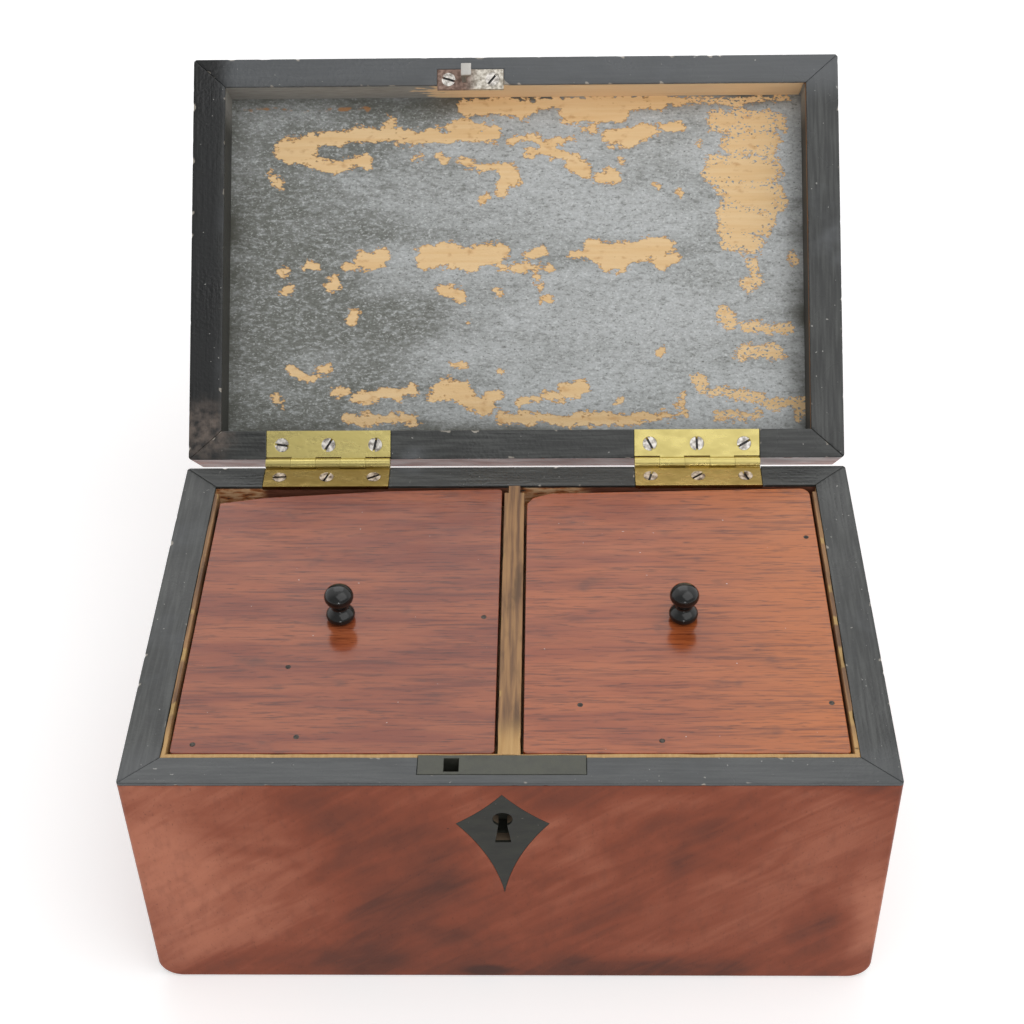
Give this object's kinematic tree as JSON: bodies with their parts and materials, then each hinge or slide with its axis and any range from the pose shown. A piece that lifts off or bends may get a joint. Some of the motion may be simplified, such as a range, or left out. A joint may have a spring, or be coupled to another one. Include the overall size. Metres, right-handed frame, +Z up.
{
  "type": "tea caddy",
  "caption": "Veneered wooden tea caddy with a hinged lid, lift-out inner lids with turned knobs over foil-lined compartments, butt hinges and a box lock.",
  "frame": {"origin": "centre of the case's flat underside", "axes": "+Z up, +Y from the front with the lock to the back with the hinges, +X to the right seen from the front"},
  "size_m": [0.2, 0.2326, 0.1739],
  "materials": {
    "mahogany_veneer": "french polish over figured mahogany",
    "inner_mahogany": "polished mahogany",
    "carcass_pine": "bare softwood",
    "ebonised_edging": "satin black stain",
    "escutcheon_inlay": "satin black inlay",
    "ebony_knob": "polished black",
    "tea_foil": "worn grey foil",
    "hinge_brass": "satin",
    "screw_steel": "dull",
    "nail_iron": "dark",
    "lock_steel": "tarnished"
  },
  "bodies": {
    "case": {"front_board": "carcass_pine", "back_board": "carcass_pine", "left_board": "carcass_pine", "right_board": "carcass_pine", "bottom_board": "carcass_pine", "front_veneer": "mahogany_veneer", "back_veneer": "mahogany_veneer", "left_veneer": "mahogany_veneer", "right_veneer": "mahogany_veneer", "front_edging": "ebonised_edging", "back_edging": "ebonised_edging", "left_edging": "ebonised_edging", "right_edging": "ebonised_edging", "escutcheon": "escutcheon_inlay", "compartment_divider": "carcass_pine", "left_lining_boards": "carcass_pine", "right_lining_boards": "carcass_pine", "left_foil_lining": "tea_foil", "right_foil_lining": "tea_foil", "left_hinge_lower_leaf": "hinge_brass", "right_hinge_lower_leaf": "hinge_brass", "left_hinge_pin": "hinge_brass", "right_hinge_pin": "hinge_brass", "hinge_lower_screws": "screw_steel", "lock_plate": "lock_steel", "lock_case": "lock_steel", "lock_screws": "screw_steel", "lock_drill_pin": "lock_steel"},
    "main_lid": {"lid_top_board": "carcass_pine", "lid_front_rail": "carcass_pine", "lid_back_rail": "carcass_pine", "lid_left_rail": "carcass_pine", "lid_right_rail": "carcass_pine", "lid_top_veneer": "mahogany_veneer", "lid_front_veneer": "mahogany_veneer", "lid_back_veneer": "mahogany_veneer", "lid_left_veneer": "mahogany_veneer", "lid_right_veneer": "mahogany_veneer", "lid_front_edging": "ebonised_edging", "lid_back_edging": "ebonised_edging", "lid_left_edging": "ebonised_edging", "lid_right_edging": "ebonised_edging", "lid_foil_lining": "tea_foil", "left_hinge_upper_leaf": "hinge_brass", "right_hinge_upper_leaf": "hinge_brass", "hinge_upper_screws": "screw_steel", "lid_catch_plate": "lock_steel", "lid_catch_screws": "screw_steel"},
    "left_lid": {"left_inner_lid": "inner_mahogany", "left_underboard": "carcass_pine", "left_nails": "nail_iron", "left_knob": "ebony_knob"},
    "right_lid": {"right_inner_lid": "inner_mahogany", "right_underboard": "carcass_pine", "right_nails": "nail_iron", "right_knob": "ebony_knob"},
    "bolt": {"lock_bolt": "lock_steel", "lock_bolt_spring": "lock_steel"}
  },
  "joints": [
    {"name": "lid_hinge", "type": "hinge", "parent": "case", "child": "main_lid", "pos_m": [0, 0.06425, 0.08315], "axis": [-1, 0, 0], "range_deg": [-136, 0]},
    {"name": "left_lid_lift", "type": "slide", "parent": "case", "child": "left_lid", "axis": [0, 0, 1], "range_m": [0, 0.12]},
    {"name": "right_lid_lift", "type": "slide", "parent": "case", "child": "right_lid", "axis": [0, 0, 1], "range_m": [0, 0.12]},
    {"name": "bolt_throw", "type": "slide", "parent": "case", "child": "bolt", "axis": [-1, 0, 0], "range_m": [0, 0.004]}
  ]
}
